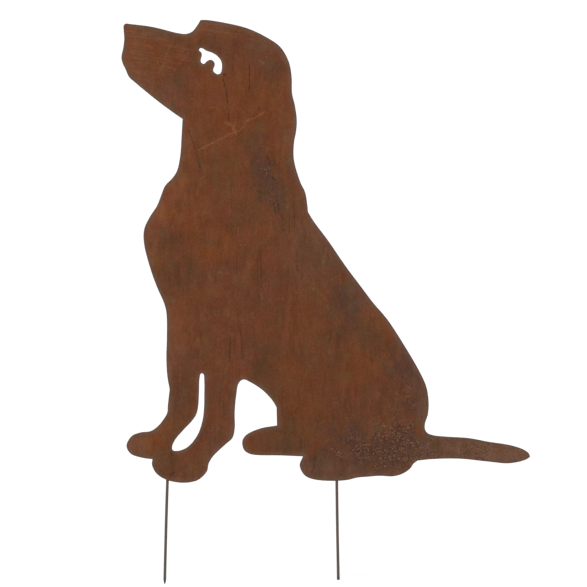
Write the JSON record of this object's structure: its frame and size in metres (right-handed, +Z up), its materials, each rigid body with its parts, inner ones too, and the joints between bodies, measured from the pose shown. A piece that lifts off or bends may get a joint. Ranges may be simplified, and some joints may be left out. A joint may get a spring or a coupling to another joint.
{
  "type": "dog silhouette garden stake",
  "caption": "Flat silhouette of a sitting dog cut from rusted sheet steel, with wire spikes welded behind it that are pushed into a lawn, bed or planter.",
  "frame": {"origin": "on the ground line, midway between the two spikes and in the plane of their axes; the sole of the near front paw is at z = 0 and the spikes run below it", "axes": "+Z up, -X the way the dog looks, -Y out of the seen face of the sheet"},
  "size_m": [0.4415, 0.0059, 0.6091],
  "materials": {
    "rusted_sheet": "even brown rust, matt, with fine vertical streaks, darker patches and a grey cut edge",
    "rusted_wire": "greyer brown rust on drawn wire, darker towards the tip",
    "weld_bead": "rippled weld metal, dark scale with rust over it"
  },
  "bodies": {
    "root": {"dog_silhouette": "rusted_sheet", "front_spike": "rusted_wire", "front_spike_upper_weld": "weld_bead", "front_spike_lower_weld": "weld_bead", "rear_spike": "rusted_wire", "rear_spike_upper_weld": "weld_bead", "rear_spike_lower_weld": "weld_bead"}
  },
  "joints": []
}
